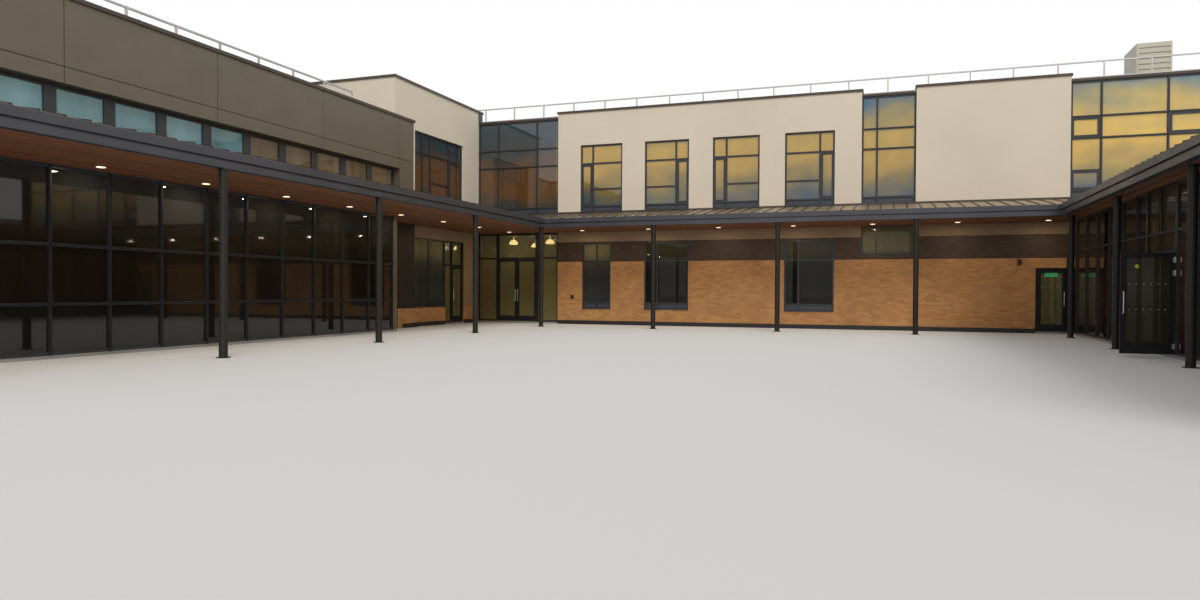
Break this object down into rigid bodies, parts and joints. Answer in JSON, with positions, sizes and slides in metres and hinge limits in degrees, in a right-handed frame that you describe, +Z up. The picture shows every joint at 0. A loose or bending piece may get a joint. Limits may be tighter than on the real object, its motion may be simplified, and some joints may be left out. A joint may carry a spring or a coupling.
{
  "type": "school building",
  "caption": "Modern school building with wings round an open courtyard, a canopy on round posts, glazed walls, flat roofs and hinged glass doors.",
  "frame": {"origin": "centre of the footprint at ground level", "axes": "+X along the back wing to the right seen from the courtyard, +Y from the open end of the courtyard towards the back wing, +Z up"},
  "size_m": [36.78, 30.98, 9.7],
  "materials": {
    "brick": "buff-orange brick in mortar",
    "dark_band": "dark brown brick band",
    "render": "warm off-white render",
    "band_render": "grey-brown render",
    "concrete": "concrete slab",
    "roof_membrane": "grey roofing membrane",
    "cladding": "bronze-grey metal panels",
    "window_frame": "dark grey painted metal",
    "glass": "dark glazing",
    "sill_panel": "blue-grey painted panels",
    "canopy_metal": "dark blue-grey standing-seam metal",
    "soffit_boards": "red-brown boards",
    "post_metal": "dark blue-grey painted steel",
    "lamp": "pale light cover",
    "coping_metal": "bronze-brown metal",
    "rail_steel": "galvanised steel",
    "plant_metal": "pale grey painted metal"
  },
  "bodies": {
    "building": {"back_canopy": "canopy_metal", "block_front_walls": "render", "canopy_posts": "post_metal", "canopy_soffit": "soffit_boards", "copings": "coping_metal", "court_brick_wall": "brick", "court_dark_band": "dark_band", "door_frames": "window_frame", "door_glass": "glass", "door_heads": "window_frame", "downlights": "lamp", "end_brick_walls": "brick", "end_upper_walls": "render", "exit_lintel": "brick", "first_floors": "concrete", "flat_roofs": "roof_membrane", "ground_floors": "concrete", "ground_window_frames": "window_frame", "ground_window_glass": "glass", "hall_canopy": "canopy_metal", "hall_cladding": "cladding", "hall_corner_walls": "render", "hall_end_pier": "cladding", "hall_frames": "window_frame", "hall_glass": "glass", "hall_spandrel": "cladding", "hall_upper_wall": "cladding", "lobby_pendants": "lamp", "outer_window_frames": "window_frame", "outer_window_glass": "glass", "plant_unit": "plant_metal", "recess_pillar": "cladding", "recess_plinths": "brick", "recess_roof": "canopy_metal", "recess_walls": "render", "render_bands": "band_render", "roof_railings": "rail_steel", "room_canopy": "canopy_metal", "room_frames": "window_frame", "room_glass": "glass", "side_brick_walls": "brick", "side_upper_walls": "render", "sill_panels": "sill_panel", "upper_frames": "window_frame", "upper_glass": "glass", "upper_render_walls": "render"},
    "lobby_door_left_leaf": {"lobby_door_left": "window_frame", "lobby_door_left_glass": "glass"},
    "lobby_door_right_leaf": {"lobby_door_right": "window_frame", "lobby_door_right_glass": "glass"},
    "exit_door_leaf": {"exit_door": "window_frame", "exit_door_glass": "glass"},
    "recess_door_leaf": {"recess_door": "window_frame", "recess_door_glass": "glass"},
    "court_door_open_leaf": {"court_door_open": "window_frame", "court_door_open_glass": "glass"},
    "court_door_shut_leaf": {"court_door_shut": "window_frame", "court_door_shut_glass": "glass"}
  },
  "joints": [
    {"name": "lobby_door_left_hinge", "type": "hinge", "parent": "building", "child": "lobby_door_left_leaf", "pos_m": [-9.762, 7.28, 0.072], "axis": [0, 0, 1], "range_deg": [-90, 0]},
    {"name": "lobby_door_right_hinge", "type": "hinge", "parent": "building", "child": "lobby_door_right_leaf", "pos_m": [-8.058, 7.28, 0.072], "axis": [0, 0, 1], "range_deg": [0, 90]},
    {"name": "exit_door_hinge", "type": "hinge", "parent": "building", "child": "exit_door_leaf", "pos_m": [9.664, 7.28, 0.072], "axis": [0, 0, 1], "range_deg": [-90, 0]},
    {"name": "recess_door_hinge", "type": "hinge", "parent": "building", "child": "recess_door_leaf", "pos_m": [-10.71, 6.032, 0.072], "axis": [0, 0, 1], "range_deg": [0, 90]},
    {"name": "court_door_open_hinge", "type": "hinge", "parent": "building", "child": "court_door_open_leaf", "pos_m": [10.55, -2.792, 0.072], "axis": [0, 0, 1], "range_deg": [-90, 0]},
    {"name": "court_door_shut_hinge", "type": "hinge", "parent": "building", "child": "court_door_shut_leaf", "pos_m": [10.55, -0.888, 0.072], "axis": [0, 0, 1], "range_deg": [-90, 0]}
  ]
}
